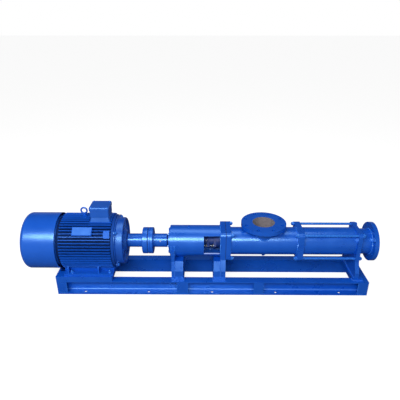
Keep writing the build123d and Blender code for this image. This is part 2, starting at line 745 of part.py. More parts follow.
with BuildPart() as gland_follower:
    with BuildSketch(Plane.YZ.offset(-4)) as oval:
        with Locations((0, axis_height)):
            SlotCenterToCenter(90, 36, rotation=90)
            Circle(46)
    extrude(amount=14)
    ring_x(9, 62, box_bore - 0.2)
    ring_x(-5, 63, shaft_radius + 1.5, mode=Mode.SUBTRACT)
    for z in (-45, 45):
        ring_x(-5, 11, 6, y=0, z=axis_height + z, mode=Mode.SUBTRACT)
save(gland_follower.part, "gland_follower")

with BuildPart() as gland_studs:
    for z in (-45, 45):
        ring_x(-28, 38, 5, y=0, z=axis_height + z)
        hex_x(-14, -4, 17, 0, axis_height + z)
        hex_x(-21, -14.5, 17, 0, axis_height + z)
save(gland_studs.part, "gland_studs")

# ================= suction casing =================
port_plane_z = axis_height + port_top
with BuildPart() as suction_casing:
    square_plate(plate_x1, suction_flange_x, flange_half, flange_corner)
    ring_x(suction_flange_x - 1, suction_plate_x + 1, suction_radius)
    square_plate(suction_plate_x, suction_end, flange_half, flange_corner)
    ring_z(axis_height, port_plane_z - 1, port_neck_radius, port_x, 0)
    ring_z(port_plane_z - port_flange_thick, port_plane_z, port_flange_radius, port_x, 0)
    ring_z(axis_height - suction_radius - 8, axis_height - 60, 20, 336, 0)
    # flow passage, shaft opening, port and bolt holes
    ring_x(plate_x1 + 16, suction_end + 1, suction_bore, mode=Mode.SUBTRACT)
    ring_x(plate_x1 - 1, plate_x1 + 17, 47 + seat_gap, mode=Mode.SUBTRACT)
    ring_z(axis_height, port_plane_z + 1, port_bore, port_x, 0, mode=Mode.SUBTRACT)
    ring_z(axis_height - suction_radius - 9, axis_height - 60, 10.3, 336, 0,
           mode=Mode.SUBTRACT)
    with BuildSketch(Plane.XY.offset(port_plane_z - port_flange_thick - 1)) as port_holes:
        with Locations((port_x, 0)):
            with PolarLocations(port_bolt_circle, 8, start_angle=22.5):
                Circle(port_bolt_hole)
    extrude(amount=port_flange_thick + 2, mode=Mode.SUBTRACT)
    for y, z in corners(bolt_offset):
        ring_x(plate_x1 - 1, suction_flange_x + 1, 8.3, y=y, z=z, mode=Mode.SUBTRACT)
        ring_x(suction_plate_x - 1, suction_end + 1, tie_rod_radius + 0.4, y=y, z=z,
               mode=Mode.SUBTRACT)
save(suction_casing.part, "suction_casing")

with BuildPart() as drain_plug:
    with BuildSketch(Plane.XY.offset(axis_height - suction_radius - 20)) as plug_head:
        with Locations((336, 0)):
            Rectangle(16, 16)
    extrude(amount=12)
    ring_z(axis_height - suction_radius - 8.5, axis_height - suction_radius + 8, 10, 336, 0)
save(drain_plug.part, "drain_plug")

with BuildPart() as flange_bolts:
    for y, z in corners(bolt_offset):
        ring_x(housing_x1 - 12, suction_flange_x + 18, 8, y=y, z=z)
        hex_x(suction_flange_x, suction_flange_x + 13, 24, y, z)
        hex_x(housing_x1 - 10, housing_x1, 24, y, z)
save(flange_bolts.part, "flange_bolts")

# ================= pump shaft and eccentric drive =================
with BuildPart() as drive_shaft:
    ring_x(pad_right + 2, joint_left + 26, shaft_radius)
    ring_x(joint_left - 26, joint_left + 30, 32)
    chamfer(drive_shaft.edges().filter_by(GeomType.CIRCLE).group_by(Axis.X)[0], length=2)
    # fork socket that takes the rod head
    ring_x(joint_left - 16, joint_left + 31, 24, mode=Mode.SUBTRACT)
    ring_z(axis_height - 33, axis_height + 33, pin_radius + 2, joint_left, 0,
           mode=Mode.SUBTRACT)
save(drive_shaft.part, "drive_shaft")

with BuildPart() as joint_boot:
    with BuildSketch(Plane.XZ) as boot_profile:
        with BuildLine():
            Polyline((joint_left + 30.3, axis_height + 31), (joint_left + 38, axis_height + 31),
                     (joint_left + 62, axis_height + 22), (joint_left + 62, axis_height + 18),
                     (joint_left + 36, axis_height + 25), (joint_left + 30.3, axis_height + 25),
                     close=True)
        make_face()
    revolve(axis=Axis((0, 0, axis_height), (1, 0, 0)))
save(joint_boot.part, "joint_boot")

rod_angle = math.degrees(math.atan2(eccentricity, joint_right - joint_left))
rod_dir = Vector(joint_right - joint_left, eccentricity, 0).normalized()
rod_start = Vector(joint_left, 0, axis_height)
rod_end = Vector(joint_right, eccentricity, axis_height)
rod_length = (rod_end - rod_start).length


def rod_plane(distance):
    """Plane square to the tilted coupling rod, at a distance from the drive joint."""
    return Plane(origin=rod_start + rod_dir * distance, x_dir=(0, 0, 1), z_dir=rod_dir)


with BuildPart() as coupling_rod:
    with BuildSketch(rod_plane(-9)) as rod_section:
        Circle(rod_radius)
    extrude(amount=rod_length + 18)
    for start in (-9, rod_length - 9):
        with BuildSketch(rod_plane(start)) as rod_head:
            Circle(rod_radius + 5)
        extrude(rod_head.sketch, amount=18)
    for joint in (rod_start, rod_end):
        ring_z(axis_height - 30, axis_height + 30, pin_radius + running_fit, joint.X, joint.Y,
               mode=Mode.SUBTRACT)
save(coupling_rod.part, "coupling_rod")

with BuildPart() as joint_pins:
    for joint, reach in ((rod_start, 31), (rod_end, 25)):
        ring_z(axis_height - reach, axis_height + reach, pin_radius, joint.X, joint.Y)
save(joint_pins.part, "joint_pins")

# rotor: a circle carried round its own axis, which itself sits off the stator axis
rotor_length = rotor_x1 - rotor_x0
with BuildSketch(Plane.YZ.offset(rotor_x0)) as rotor_section:
    with Locations((2 * eccentricity, axis_height)):
        Circle(rotor_radius)
rotor_helix = Solid.extrude_linear_with_rotation(
    rotor_section.sketch.faces()[0],
    center=(rotor_x0, eccentricity, axis_height),
    normal=(rotor_length, 0, 0),
    angle=360 * rotor_length / rotor_pitch,
)
with BuildPart() as rotor:
    add(rotor_helix)
    ring_x(joint_right - 30, rotor_x0 + 1, 26, y=eccentricity)
    ring_x(joint_right - 31, joint_right + 12, 22.5, y=eccentricity, mode=Mode.SUBTRACT)
    ring_z(axis_height - 28, axis_height + 28, pin_radius + 1.6, joint_right, eccentricity,
           mode=Mode.SUBTRACT)
save(rotor.part, "rotor")

# ================= stator =================
lining_radius = stator_radius - stator_wall - seat_gap
cavity_start = 180 * (suction_end - rotor_x0) / rotor_pitch
with BuildSketch(Plane.YZ.offset(suction_end)) as cavity_section:
    with Locations((0, axis_height)):
        SlotCenterToCenter(4 * eccentricity, 2 * (rotor_radius + rotor_clearance),
                           rotation=cavity_start)
stator_cavity = Solid.extrude_linear_with_rotation(
    cavity_section.sketch.faces()[0],
    center=(suction_end, 0, axis_height),
    normal=(stator_end - suction_end, 0, 0),
    angle=180 * (stator_end - suction_end) / rotor_pitch,
)
with BuildPart() as stator_lining:
    ring_x(suction_end, stator_end, lining_radius)
    add(stator_cavity, mode=Mode.SUBTRACT)
save(stator_lining.part, "stator_lining")

with BuildPart() as stator_tube:
    ring_x(suction_end, stator_end, stator_radius, stator_radius - stator_wall)
save(stator_tube.part, "stator_tube")

# ================= discharge end =================
with BuildPart() as discharge_end_plate:
    square_plate(stator_end, end_plate_x, flange_half, flange_corner)
    with BuildSketch(Plane.YZ.offset(stator_end)) as end_leg:
        with BuildLine():
            Polyline((-130, channel_height + 10), (130, channel_height + 10), (130, 150),
                     (flange_half, 214), (flange_half, 300), (-flange_half, 300),
                     (-flange_half, 214), (-130, 150), close=True)
        make_face()
    extrude(amount=end_plate_x - stator_end)
    pedestal_foot(898, 963)
    ring_x(stator_end - 1, end_plate_x + 1, discharge_bore, mode=Mode.SUBTRACT)
    for y, z in corners(bolt_offset):
        ring_x(stator_end - 1, end_plate_x + 1, tie_rod_radius + 0.4, y=y, z=z,
               mode=Mode.SUBTRACT)
save(discharge_end_plate.part, "discharge_end_plate")

with BuildPart() as discharge_neck:
    ring_x(end_plate_x, discharge_flange_x + 1, discharge_neck_radius)
    ring_x(discharge_flange_x, discharge_end, discharge_flange_radius)
    ring_x(end_plate_x - 1, discharge_end + 1, discharge_bore, mode=Mode.SUBTRACT)
    for y, z in bolt_circle(discharge_bolt_circle, 8, 22.5):
        ring_x(discharge_flange_x - 1, discharge_end + 1, discharge_bolt_hole, y=y, z=z,
               mode=Mode.SUBTRACT)
    for y, z in corners(bolt_offset):
        ring_x(end_plate_x - 1, end_plate_x + 24, 17, y=y, z=z, mode=Mode.SUBTRACT)
save(discharge_neck.part, "discharge_neck")

with BuildPart() as tie_rods:
    for y, z in corners(bolt_offset):
        ring_x(suction_plate_x - 18, end_plate_x + 18, tie_rod_radius, y=y, z=z)
save(tie_rods.part, "tie_rods")

with BuildPart() as tie_rod_nuts:
    for y, z in corners(bolt_offset):
        for x0, x1 in ((suction_plate_x - 13, suction_plate_x),
                       (end_plate_x, end_plate_x + 13)):
            hex_x(x0, x1, 24, y, z)
            ring_x(x0 - 1, x1 + 1, tie_rod_radius + running_fit, y=y, z=z, mode=Mode.SUBTRACT)
save(tie_rod_nuts.part, "tie_rod_nuts")
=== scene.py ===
import math

import bmesh
import bpy
from mathutils import Matrix, Vector


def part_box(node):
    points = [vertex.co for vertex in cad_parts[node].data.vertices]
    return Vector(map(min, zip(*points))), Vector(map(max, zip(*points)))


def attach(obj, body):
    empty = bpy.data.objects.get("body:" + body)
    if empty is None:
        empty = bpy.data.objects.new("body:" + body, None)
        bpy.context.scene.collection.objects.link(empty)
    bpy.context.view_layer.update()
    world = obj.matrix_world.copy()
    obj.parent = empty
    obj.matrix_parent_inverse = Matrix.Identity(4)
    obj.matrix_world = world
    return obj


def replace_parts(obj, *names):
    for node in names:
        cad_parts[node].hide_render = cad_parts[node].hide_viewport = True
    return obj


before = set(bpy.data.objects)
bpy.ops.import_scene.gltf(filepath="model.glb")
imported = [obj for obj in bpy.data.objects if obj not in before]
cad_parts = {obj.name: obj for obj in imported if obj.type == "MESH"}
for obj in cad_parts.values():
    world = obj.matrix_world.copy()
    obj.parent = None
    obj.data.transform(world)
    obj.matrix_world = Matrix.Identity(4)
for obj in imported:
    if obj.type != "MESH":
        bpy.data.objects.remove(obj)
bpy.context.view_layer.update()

# A pump set on a channel base. X runs along the pump axis to the discharge, -Y is the front, Z up.
MM = 0.001
AXIS_HEIGHT = 315 * MM
LEFT, RIGHT, UP = (-1, 0, 0), (1, 0, 0), (0, 0, 1)


# ---------------------------------------------------------------- colours and nodes
def paint_colour(hex_text):
    """sRGB hex to linear colour."""
    channels = [int(hex_text[i:i + 2], 16) / 255 for i in (1, 3, 5)]
    linear = [c / 12.92 if c <= 0.04045 else ((c + 0.055) / 1.055) ** 2.4 for c in channels]
    return tuple(linear) + (1,)


def add(tree, kind, inputs=None, **settings):
    """Add one shader node, set it up and link it."""
    made = tree.nodes.new(kind)
    for name, value in settings.items():
        setattr(made, name, value)
    for name, value in (inputs or {}).items():
        if isinstance(value, bpy.types.NodeSocket):
            tree.links.new(value, made.inputs[name])
        else:
            made.inputs[name].default_value = value
    return made


def per_metre(size_mm):
    """Texture scale for a pattern whose features are size_mm across."""
    return 1000 / size_mm


PAINT_SHINE = "#94CCFF"


def coats(name, light, dark, patch_mm, grain_mm, grain_depth_mm, roughness, spread,
          tinted=False, **shader):
    """Surface with broad colour drift, a fine grain in relief and uneven gloss."""
    material = bpy.data.materials.new(name)
    material.use_nodes = True
    tree = material.node_tree
    surface = tree.nodes["Principled BSDF"]
    place = add(tree, "ShaderNodeTexCoord").outputs["Object"]
    drift = add(tree, "ShaderNodeTexNoise",
                {"Vector": place, "Scale": per_metre(patch_mm), "Detail": 4})
    tint = add(tree, "ShaderNodeMix",
               {"Factor": drift.outputs["Fac"], "A": paint_colour(dark), "B": paint_colour(light)},
               data_type="RGBA")
    grain = add(tree, "ShaderNodeTexNoise",
                {"Vector": place, "Scale": per_metre(grain_mm), "Detail": 3})
    relief = add(tree, "ShaderNodeBump", {"Height": grain.outputs["Fac"], "Strength": 1.0,
                                          "Distance": grain_depth_mm * MM})
    gloss = add(tree, "ShaderNodeMapRange",
                {"Value": drift.outputs["Fac"], "From Min": 0.3, "From Max": 0.7,
                 "To Min": roughness - spread, "To Max": roughness + spread})
    tree.links.new(tint.outputs["Result"], surface.inputs["Base Color"])
    tree.links.new(gloss.outputs["Result"], surface.inputs["Roughness"])
    tree.links.new(relief.outputs["Normal"], surface.inputs["Normal"])
    for socket, value in shader.items():
        surface.inputs[socket.replace("_", " ")].default_value = value
    if tinted:
        surface.inputs["Specular Tint"].default_value = paint_colour(PAINT_SHINE)
    return material, tree, surface, place, tint


def finish(*looks, **shader):
    """The plain material of a surface made by coats."""
    return coats(*looks, **shader)[0]


ENAMEL_LIGHT = "#0A5ACE"
ENAMEL_DARK = "#074AB8"
# Gloss enamel throws back a strong, blue-tinted shine, so its IOR lies over that of clear varnish.
WET_GLOSS = {"Specular_IOR_Level": 0.9, "IOR": 1.9, "tinted": True}

# Each line: light and dark colour, drift mm, grain mm, grain depth mm, roughness and its spread.
# Sprayed alkyd enamel on rolled and cut steel: saturated blue, faint orange peel, wet gloss.
enamel_steel = finish("sprayed_blue_enamel",
                      ENAMEL_LIGHT, ENAMEL_DARK, 90, 6, 0.05, 0.3, 0.05, **WET_GLOSS)
# The same enamel over sand-cast iron: the casting's grain shows through and breaks up the gloss.
enamel_cast = finish("blue_enamel_on_cast_iron",
                     "#0C50BE", "#0842A6", 60, 4, 0.16, 0.36, 0.06, **WET_GLOSS)
# Enamel deep in the seal window: a flatter blue, painted darker as the window's shade.
gland_shade_enamel = finish("dark_blue_enamel_painted_shade",
                      "#103A8A", "#061C54", 22, 3, 0.1, 0.5, 0.08, Specular_IOR_Level=0.4)
# The lip of the window: a pale blue that is a painted highlight along the edge.
lip_highlight_enamel = finish("pale_blue_enamel_painted_highlight",
                    "#9DB4E8", "#6E8CD8", 18, 4, 0.1, 0.34, 0.06, Specular_IOR_Level=0.6)
# Enamel over weld ripples, rods and nuts, glossier, and lighter in a painted highlight, so their
# edges glint.
bead_highlight_enamel = finish("blue_enamel_on_weld",
                     "#2A76DE", "#1C62CC", 30, 3, 0.08, 0.26, 0.05, **WET_GLOSS)
# Pressed sheet cowl: the smoothest paint on the unit, with slow dents that mottle the shine.
enamel_sheet = finish("blue_enamel_on_sheet",
                      "#0F58CC", "#0B50C0", 140, 75, 1.1, 0.31, 0.04, **WET_GLOSS)
# Enamel on a moulded aluminium box: an even satin with hardly any grain.
enamel_box = finish("blue_enamel_on_aluminium",
                    "#1658C2", "#104CB0", 70, 3, 0.05, 0.36, 0.04, **WET_GLOSS)
# Enamel on the flat nameplate, foot welds and rolled roots: a paler, brighter blue, which on the
# welds and roots is a painted highlight where they catch the light.
plate_and_highlight_enamel = finish("blue_enamel_on_plate",
                      "#3070DA", "#2260CC", 40, 8, 0.03, 0.34, 0.04, **WET_GLOSS)
# Zinc-plated bolts and studs: pale, slightly blue, hazy shine.
zinc = finish("zinc_plated_steel",
              "#C9CED4", "#9AA2AA", 6, 1.5, 0.03, 0.3, 0.08, Metallic=1.0)
# Turned shaft steel: fine lathe marks and an oily grey.
turned_steel = finish("turned_shaft_steel",
                      "#B4B6B8", "#8C8F92", 18, 0.8, 0.02, 0.28, 0.06, Metallic=1.0)
# Hard chrome on the polished rotor: bright and nearly a mirror.
hard_chrome = finish("hard_chrome",
                     "#D8DADC", "#C2C5C8", 30, 3, 0.005, 0.1, 0.03, Metallic=1.0)
# Stacked core sheets: dull grey steel with the fine lines of the stack, drawn as a grain.
core_steel = finish("laminated_core_steel",
                    "#6A6A6C", "#4C4C4E", 12, 0.9, 0.05, 0.45, 0.08, Metallic=1.0)
# Wound copper under varnish: warm brown strands in clear relief.
copper = finish("varnished_copper_winding", "#A8562C", "#7A3418", 10, 1.6, 0.3, 0.35, 0.08)
# Moulded nitrile rubber: a matt near-black.
nitrile = finish("nitrile_rubber", "#1C1C1E", "#101012", 25, 2, 0.06, 0.6, 0.08)
# Moulded plastic of the fan and the cable fittings: black with a low satin.
moulded_black = finish("moulded_black_plastic", "#202226", "#15171A", 30, 1.2, 0.03, 0.45, 0.05)
# Greased packing braid: a coarse, matt, yellow-brown weave.
braid = finish("greased_packing_braid", "#8A8068", "#5E563F", 6, 2.4, 0.5, 0.7, 0.08)


def distance(tree, off_one, off_other):
    """How far a point lies from an axis, given how far it is off in two directions."""
    flat = add(tree, "ShaderNodeCombineXYZ", {"X": off_one, "Y": off_other})
    length = add(tree, "ShaderNodeVectorMath", {0: flat.outputs[0]}, operation="LENGTH")
    return length.outputs["Value"]


FIN_ROOT = 160 * MM
FIN_TOP = 177 * MM
ROOT_ROUGHNESS = 0.85
TIP_ROUGHNESS = 0.36


def fin_enamel():
    """Cast-iron enamel with painted shade that darkens the fin roots to navy, so the fins stand out
    as fine lines.
    """
    material, tree, surface, place, tint = coats(
        "enamel_on_cast_fins", "#1258CC", "#0C4AB4", 60, 4, 0.16, TIP_ROUGHNESS, 0.06,
        Specular_IOR_Level=0.5, tinted=True)
    part = add(tree, "ShaderNodeSeparateXYZ", {"Vector": place})
    height = add(tree, "ShaderNodeMath", {0: part.outputs["Z"], 1: AXIS_HEIGHT},
                 operation="SUBTRACT")
    root_to_tip = add(tree, "ShaderNodeMapRange",
                {"Value": distance(tree, height.outputs[0], part.outputs["Y"]),
                 "From Min": FIN_ROOT, "From Max": FIN_TOP})
    # Painted shade: from the fin tips down to the roots the enamel goes over to a deep navy.
    root_shade = add(tree, "ShaderNodeMix", {"Factor": root_to_tip.outputs["Result"],
                                        "A": paint_colour("#021A50"),
                                        "B": tint.outputs["Result"]}, data_type="RGBA")
    dull = add(tree, "ShaderNodeMapRange", {"Value": root_to_tip.outputs["Result"],
                                            "To Min": ROOT_ROUGHNESS, "To Max": TIP_ROUGHNESS})
    tree.links.new(root_shade.outputs["Result"], surface.inputs["Base Color"])
    tree.links.new(dull.outputs["Result"], surface.inputs["Roughness"])
    return material


PORT_X = 325 * MM
PRIMED_PORT = 70.6 * MM
PRIMED_BORE = 80.4 * MM
RUST_PATCH_MM = 14


def port_enamel():
    """Enamel outside, with the flow passage and the port in red-brown primer and light rust."""
    material, tree, surface, place, tint = coats(
        "enamel_with_primed_port", ENAMEL_LIGHT, ENAMEL_DARK, 90, 5, 0.06, 0.3, 0.05, **WET_GLOSS)
    part = add(tree, "ShaderNodeSeparateXYZ", {"Vector": place})
    off_x = add(tree, "ShaderNodeMath", {0: part.outputs["X"], 1: PORT_X}, operation="SUBTRACT")
    height = add(tree, "ShaderNodeMath", {0: part.outputs["Z"], 1: AXIS_HEIGHT},
                 operation="SUBTRACT")
    in_port = add(tree, "ShaderNodeMath",
                  {0: distance(tree, off_x.outputs[0], part.outputs["Y"]), 1: PRIMED_PORT},
                  operation="LESS_THAN")
    in_bore = add(tree, "ShaderNodeMath",
                  {0: distance(tree, height.outputs[0], part.outputs["Y"]), 1: PRIMED_BORE},
                  operation="LESS_THAN")
    above = add(tree, "ShaderNodeMath", {0: height.outputs[0], 1: 0.0}, operation="GREATER_THAN")
    in_neck = add(tree, "ShaderNodeMath", {0: in_port.outputs[0], 1: above.outputs[0]},
                  operation="MINIMUM")
    inside = add(tree, "ShaderNodeMath", {0: in_neck.outputs[0], 1: in_bore.outputs[0]},
                 operation="MAXIMUM")
    rust = add(tree, "ShaderNodeTexNoise",
               {"Vector": place, "Scale": per_metre(RUST_PATCH_MM), "Detail": 6})
    primer = add(tree, "ShaderNodeMix", {"Factor": rust.outputs["Fac"],
                                         "A": paint_colour("#6E6468"),
                                         "B": paint_colour("#A39A9C")}, data_type="RGBA")
    both = add(tree, "ShaderNodeMix", {"Factor": inside.outputs[0], "A": tint.outputs["Result"],
                                       "B": primer.outputs["Result"]}, data_type="RGBA")
    tree.links.new(both.outputs["Result"], surface.inputs["Base Color"])
    return material


NODE_FINISHES = {
    enamel_steel: """base_rail_front base_rail_rear base_end_left base_end_right
        base_cross_members rail_stiffener_plates motor_seat pedestal_left pedestal_right
        stator_tube bearing_housing discharge_end_plate discharge_neck bearing_cover
        coupling_hub_motor coupling_hub_pump drain_plug grease_cup cover_bolts lifting_eyebolt
        motor_foot_bolts shield_bolts cowl_screws lid_screws tie_rod_nuts flange_bolts""",
    enamel_cast: "drive_end_shield fan_end_shield stuffing_box gland_follower",
    fin_enamel(): "motor_frame",
    # Tie rods in the lighter bead enamel, a painted highlight.
    bead_highlight_enamel: "tie_rods",
    enamel_box: "terminal_box terminal_box_lid",
    enamel_sheet: "fan_cowl",
    plate_and_highlight_enamel: "nameplate",
    zinc: "gland_studs hub_set_screw",
    turned_steel: """motor_shaft motor_key drive_shaft motor_bearings pump_bearings
        bearing_spacer coupling_rod joint_pins""",
    hard_chrome: "rotor",
    core_steel: "motor_stator_core motor_rotor_core",
    copper: "motor_windings",
    nitrile: "coupling_buffer oil_seal joint_boot stator_lining",
    moulded_black: "cooling_fan terminal_board cable_gland",
    braid: "packing_rings",
    port_enamel(): "suction_casing",
}
for material, names in NODE_FINISHES.items():
    for name in names.split():
        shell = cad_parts[name]
        shell.data.materials.clear()
        shell.data.materials.append(material)


# ---------------------------------------------------------------- making pieces
CREASE_ANGLE = math.radians(35)
WELD_TOGETHER = 1e-6


def piece(name, mesh, material, body="frame"):
    """Turn a bmesh into a piece that rides on a CAD body."""
    bmesh.ops.remove_doubles(mesh, verts=mesh.verts, dist=WELD_TOGETHER)
    bmesh.ops.recalc_face_normals(mesh, faces=mesh.faces)
    data = bpy.data.meshes.new(name)
    mesh.to_mesh(data)
    mesh.free()
    made = bpy.data.objects.new(name, data)
    bpy.context.scene.collection.objects.link(made)
    data.materials.append(material)
    data.set_sharp_from_angle(angle=CREASE_ANGLE)
    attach(made, body)
    return made


def along(axis, centre):
    """Matrix that takes +Z to the axis and the origin to the centre."""
    turn = Vector(UP).rotation_difference(Vector(axis)).to_matrix().to_4x4()
    return Matrix.Translation(centre) @ turn


def skin(mesh, loops, closed=False):
    """Join each loop of vertices to the next, then close the ends or join last to first."""
    count = len(loops[0])
    for first, second in zip(loops, loops[1:] + (loops[:1] if closed else [])):
        for k in range(count):
            j = (k + 1) % count
            mesh.faces.new((first[k], first[j], second[j], second[k]))
    if not closed:
        mesh.faces.new(loops[0][::-1])
        mesh.faces.new(loops[-1])


def circle(radius, level, sides):
    """Ring of points round Z at one level."""
    return [(radius * math.cos(2 * math.pi * k / sides), radius * math.sin(2 * math.pi * k / sides),
             level) for k in range(sides)]


def stack_rings(mesh, rings, matrix):
    """Skin a list of rings of points into a closed solid."""
    skin(mesh, [[mesh.verts.new(matrix @ Vector(p)) for p in ring] for ring in rings])


BEAD_SIDES = 8
RIPPLE_PITCH = 0.55
RIPPLE_CREST, RIPPLE_DIP = 0.16, -0.1
HAND_SWAY, SWAY_RATE = 0.05, 1.7
NEARLY_UPRIGHT = 0.9


def add_weld(mesh, points, size, closed=False):
    """Rippled round bead laid along a line of points."""
    spots = [Vector(p) for p in points]
    steps = []
    for a, b in zip(spots, spots[1:] + (spots[:1] if closed else [])):
        parts = max(1, round((b - a).length / (size * RIPPLE_PITCH)))
        steps += [a.lerp(b, k / parts) for k in range(parts)]
    if not closed:
        steps.append(spots[-1])
    total = len(steps)
    loops = []
    for k, spot in enumerate(steps):
        ahead = steps[(k + 1) % total] if closed or k + 1 < total else spot
        behind = steps[k - 1] if closed or k > 0 else spot
        way = (ahead - behind).normalized()
        side = (way.orthogonal() if abs(way.z) > NEARLY_UPRIGHT else way.cross(Vector(UP)))
        side.normalize()
        up = side.cross(way).normalized()
        ripple = RIPPLE_CREST if k % 2 else RIPPLE_DIP
        width = size * (1.0 + ripple + HAND_SWAY * math.sin(k * SWAY_RATE))
        loops.append([mesh.verts.new(spot + width * (side * math.cos(t) + up * math.sin(t)))
                      for t in [2 * math.pi * n / BEAD_SIDES for n in range(BEAD_SIDES)]])
    skin(mesh, loops, closed)


RING_PARTS = 72


def on_ring(radius, turn):
    """Point at a turn round the pump axis, as (y, z)."""
    return radius * math.cos(turn), AXIS_HEIGHT + radius * math.sin(turn)


def ring_points(x, radius, start=0, stop=360):
    """Points round the pump axis at one place along it."""
    count = RING_PARTS if stop - start >= 360 else RING_PARTS + 1
    return [(x, *on_ring(radius, math.radians(start + (stop - start) * k / RING_PARTS)))
            for k in range(count)]


HEXAGON_POINTS = 48
CHAMFER_RIM = 0.95
CHAMFER_SLOPE = 0.6


def add_hexagon(mesh, centre, axis, across, height):
    """Hexagon nut or bolt head with its corners chamfered on the outer face."""
    apothem = across / 2
    rim = apothem * CHAMFER_RIM
    low_ring, high_ring = [], []
    for k in range(HEXAGON_POINTS):
        angle = 2 * math.pi * k / HEXAGON_POINTS
        radius = apothem / math.cos((angle % (math.pi / 3)) - math.pi / 6)
        y, z = radius * math.cos(angle), radius * math.sin(angle)
        low_ring.append((y, z, 0))
        high_ring.append((y, z, height - (radius - rim) * CHAMFER_SLOPE))
    stack_rings(mesh, [low_ring, high_ring, circle(rim, height, HEXAGON_POINTS)],
                along(axis, centre))


TIP_CHAMFER = 1.2 * MM
THREAD_STOP = 1.5 * MM
# Where the crest ends and the root lies within each turn of thread, and how deep the root is.
CREST_END = 0.2
ROOT_AT = 0.6
ROOT_SHARE = 0.91


def add_rod(mesh, centre, axis, radius, length, pitch=0.0, sides=24):
    """Plain or threaded rod end, chamfered at its tip."""
    steps = [(radius, 0)]
    if pitch:
        for turn in range(int((length - THREAD_STOP) / pitch)):
            steps += [(radius, (turn + CREST_END) * pitch),
                      (radius * ROOT_SHARE, (turn + ROOT_AT) * pitch),
                      (radius, (turn + 1) * pitch)]
    steps += [(radius, length - TIP_CHAMFER), (radius - TIP_CHAMFER, length)]
    stack_rings(mesh, [circle(r, z, sides) for r, z in steps], along(axis, centre))


WASHER_SIDES = 32
WASHER_EDGE = 0.3


def add_washer(mesh, centre, axis, radius, thick):
    """Flat washer with a soft outer edge."""
    steps = ((radius, 0), (radius, thick * (1 - WASHER_EDGE)),
             (radius - thick * WASHER_EDGE, thick))
    stack_rings(mesh, [circle(r, z, WASHER_SIDES) for r, z in steps], along(axis, centre))


def add_turned(mesh, profile, sides=96):
    """Closed outline of (x, radius) points turned round the pump axis."""
    skin(mesh, [[mesh.verts.new((x, *on_ring(radius, 2 * math.pi * k / sides)))
                 for k in range(sides)] for x, radius in profile], closed=True)


ROUNDING_STEPS = 5


def rounded(x0, x1, outer, inner, edge):
    """Outline of a turned ring with its two outer edges rounded."""
    points = [(x0, inner)]
    for centre_x, start in ((x0 + edge, 180), (x1 - edge, 90)):
        for step in range(ROUNDING_STEPS + 1):
            turn = math.radians(start - 90 / ROUNDING_STEPS * step)
            points.append((centre_x + edge * math.cos(turn), outer - edge + edge * math.sin(turn)))
    return points + [(x1, inner)]


def add_extruded(mesh, outline, direction):
    """Closed outline of points pushed along a direction into a solid."""
    skin(mesh, [[mesh.verts.new(Vector(p) + Vector(shift)) for p in outline]
                for shift in ((0, 0, 0), direction)])


# ---------------------------------------------------------------- places taken from the frame
def low(node):
    """Lowest corner of a CAD node's box."""
    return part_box(node)[0]


def high(node):
    """Highest corner of a CAD node's box."""
    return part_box(node)[1]


HOUSING_END = high("bearing_housing").x
HOUSING_RADIUS = high("bearing_housing").y
FLANGE_JOINT = high("pedestal_right").x
ROD_RADIUS = 8 * MM
BOLT_OFFSET = high("tie_rods").y - ROD_RADIUS
NUT_TAIL = 18 * MM
SUCTION_SEAT = high("flange_bolts").x - NUT_TAIL
PLATE_SEAT = low("tie_rods").x + NUT_TAIL
END_SEAT = high("tie_rods").x - NUT_TAIL
SUCTION_RADIUS = 89 * MM
NECK_RADIUS = 82 * MM
NUT_ACROSS = 24 * MM
NUT_HEIGHT = 10.6 * MM
WASHER_RADIUS = 14.5 * MM
WASHER_THICK = 2.4 * MM
STUD_RADIUS = 7.7 * MM
STUD_TIP = 6 * MM
STUD_ROOT = 0.5 * MM
THREAD_PITCH = 1.6 * MM
BASE_HALF = high("base_rail_rear").y
WEB_FACE = BASE_HALF - 48 * MM
BASE_TOP = high("base_rail_front").z
BASE_END = high("base_end_right").x
FOOT_PLATE_TOP = BASE_TOP + 14 * MM
CORNERS = [(sy * BOLT_OFFSET, AXIS_HEIGHT + sz * BOLT_OFFSET) for sy in (-1, 1) for sz in (-1, 1)]
# How far one solid reaches into its neighbour, so that no gap shows between them.
OVERLAP = 1 * MM


def add_nut(mesh, centre, way, across=NUT_ACROSS, height=NUT_HEIGHT, washer=WASHER_RADIUS,
            stud=STUD_RADIUS, tip=STUD_TIP):
    """Washer, nut and threaded stud end standing on a face."""
    spot = Vector(centre)
    axis = Vector(way)
    add_washer(mesh, spot, way, washer, WASHER_THICK)
    add_hexagon(mesh, spot + axis * WASHER_THICK, way, across, height)
    add_rod(mesh, spot + axis * (WASHER_THICK + height - STUD_ROOT), way, stud, tip, THREAD_PITCH)


# ---------------------------------------------------------------- tie rods and flange bolts
# Nuts in the lighter bead enamel, a painted highlight.
nuts = bmesh.new()
for y, z in CORNERS:
    add_nut(nuts, (PLATE_SEAT, y, z), LEFT)
    add_nut(nuts, (END_SEAT, y, z), RIGHT)
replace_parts(piece("tie_rod_nuts_detailed", nuts, bead_highlight_enamel), "tie_rod_nuts")

bolts = bmesh.new()
for y, z in CORNERS:
    add_nut(bolts, (SUCTION_SEAT, y, z), RIGHT)
    add_rod(bolts, (HOUSING_END + OVERLAP, y, z), RIGHT, STUD_RADIUS, SUCTION_SEAT - HOUSING_END)
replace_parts(piece("flange_bolts_detailed", bolts, bead_highlight_enamel), "flange_bolts")

